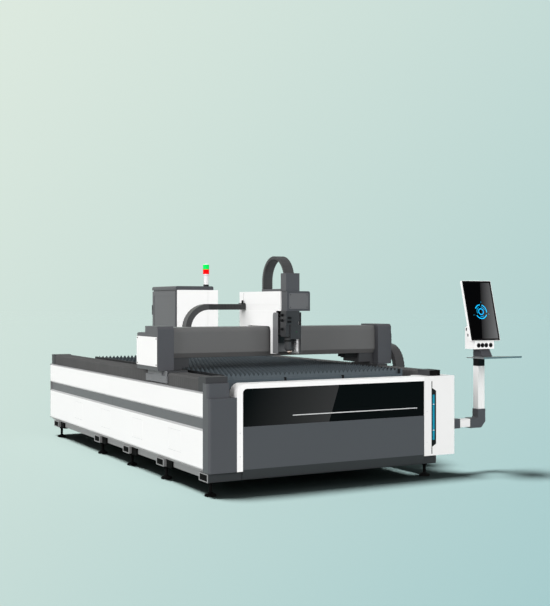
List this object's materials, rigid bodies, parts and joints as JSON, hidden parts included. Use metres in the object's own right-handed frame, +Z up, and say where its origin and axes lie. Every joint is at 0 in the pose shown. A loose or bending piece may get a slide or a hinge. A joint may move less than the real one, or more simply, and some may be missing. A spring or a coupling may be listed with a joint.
{
  "type": "flat-bed fiber laser cutting machine",
  "caption": "Open flat-bed laser cutter: long slat table between pleated rail covers, bridging gantry with cutting head, drag chains, swivel console and rear cabinet.",
  "frame": {"origin": "centre of the bounding box on the floor", "axes": "+X across the bed to the right, +Y along the bed to the rear cabinet, +Z up"},
  "size_m": [2.9352, 5.385, 1.958],
  "materials": {
    "white_paint": "satin white powder coat",
    "dark_paint": "dark grey powder coat",
    "grey_paint": "mid grey powder coat",
    "steel": "ground steel",
    "black_plastic": "matt black",
    "gloss_black": "glossy black",
    "slat_steel": "blue-grey mill scale",
    "teal_lens": "lit teal lens",
    "red_lens": "red lens",
    "green_lens": "green lens",
    "copper": "turned copper"
  },
  "bodies": {
    "bed": {"base_tubes": "grey_paint", "levelling_feet": "black_plastic", "bed_frame": "grey_paint", "slag_trays": "steel", "side_panels": "white_paint", "side_stripes": "grey_paint", "rear_panel": "grey_paint", "exhaust_collar": "grey_paint", "corner_post": "dark_paint", "front_surround": "white_paint", "front_glass": "gloss_black", "front_lower_panel": "dark_paint", "right_front_cabinet": "white_paint", "light_strip_housing": "black_plastic", "light_strip_lens": "teal_lens", "guide_rails": "steel", "rail_end_blocks": "dark_paint", "front_bellows": "dark_paint", "rear_bellows": "dark_paint", "slat_frame": "black_plastic", "slats": "slat_steel", "chain_trough": "grey_paint", "arm_fittings": "dark_paint", "arm_tubes": "white_paint", "cabinet_shell": "grey_paint", "cabinet_front": "white_paint", "cabinet_top": "dark_paint", "laser_source": "steel", "tower_pole": "black_plastic", "tower_lens_red": "red_lens", "tower_lens_green": "green_lens"},
    "gantry": {"gantry_beam": "grey_paint", "beam_rails": "steel", "gantry_sliders": "grey_paint", "gantry_end_caps": "dark_paint", "gantry_end_covers": "white_paint", "gantry_drives": "black_plastic", "beam_chain_tray": "grey_paint", "x_chain_upper": "black_plastic"},
    "x_chain": {"x_chain_bend": "black_plastic"},
    "carriage": {"carriage_plate": "steel", "carriage_cover": "white_paint", "carriage_motor": "black_plastic", "y_chain_upper": "black_plastic", "z_chain": "black_plastic"},
    "y_chain": {"y_chain_bend": "black_plastic"},
    "head": {"z_slide": "steel", "head_cover": "dark_paint", "z_top_cover": "dark_paint", "laser_head": "dark_paint", "nozzle": "copper"},
    "console": {"swivel_collar": "black_plastic", "keyboard_tray": "steel", "console_housing": "white_paint", "screen": "gloss_black"},
    "door": {"cabinet_door": "grey_paint"},
    "button_1": {"button_1": "black_plastic"},
    "button_2": {"button_2": "black_plastic"},
    "button_3": {"button_3": "black_plastic"},
    "button_4": {"button_4": "black_plastic"}
  },
  "joints": [
    {"name": "gantry_travel", "type": "slide", "parent": "bed", "child": "gantry", "axis": [0, 1, 0], "range_m": [-0.36, 2.64], "deforming": ["front_bellows", "rear_bellows", "x_chain_upper"]},
    {"name": "x_chain_roll", "type": "slide", "parent": "gantry", "child": "x_chain", "axis": [0, 1, 0], "range_m": [-1.325, 0.185]},
    {"name": "carriage_travel", "type": "slide", "parent": "gantry", "child": "carriage", "axis": [1, 0, 0], "range_m": [-0.705, 0.79], "deforming": ["y_chain_upper"]},
    {"name": "y_chain_roll", "type": "slide", "parent": "carriage", "child": "y_chain", "axis": [1, 0, 0], "range_m": [-0.4, 0.355]},
    {"name": "head_travel", "type": "slide", "parent": "carriage", "child": "head", "axis": [0, 0, 1], "range_m": [-0.115, 0.04], "deforming": ["z_chain"]},
    {"name": "console_swivel", "type": "hinge", "parent": "bed", "child": "console", "pos_m": [1.2656, -2.3625, 0.93], "axis": [0, 0, 1], "range_deg": [-60, 60]},
    {"name": "door_hinge", "type": "hinge", "parent": "bed", "child": "door", "pos_m": [0.1522, 2.6785, 0.8], "axis": [0, 0, -1], "range_deg": [0, 110]},
    {"name": "button_1_press", "type": "slide", "parent": "console", "child": "button_1", "axis": [0, 1, 0], "range_m": [0, 0.0035], "stiffness_N_per_m": 400},
    {"name": "button_2_press", "type": "slide", "parent": "console", "child": "button_2", "axis": [0, 1, 0], "range_m": [0, 0.0035], "stiffness_N_per_m": 400},
    {"name": "button_3_press", "type": "slide", "parent": "console", "child": "button_3", "axis": [0, 1, 0], "range_m": [0, 0.0035], "stiffness_N_per_m": 400},
    {"name": "button_4_press", "type": "slide", "parent": "console", "child": "button_4", "axis": [0, 1, 0], "range_m": [0, 0.0035], "stiffness_N_per_m": 400}
  ],
  "couplings": [
    {"joint": "x_chain_roll", "follows": "gantry_travel", "ratio": -0.5},
    {"joint": "y_chain_roll", "follows": "carriage_travel", "ratio": -0.5}
  ]
}
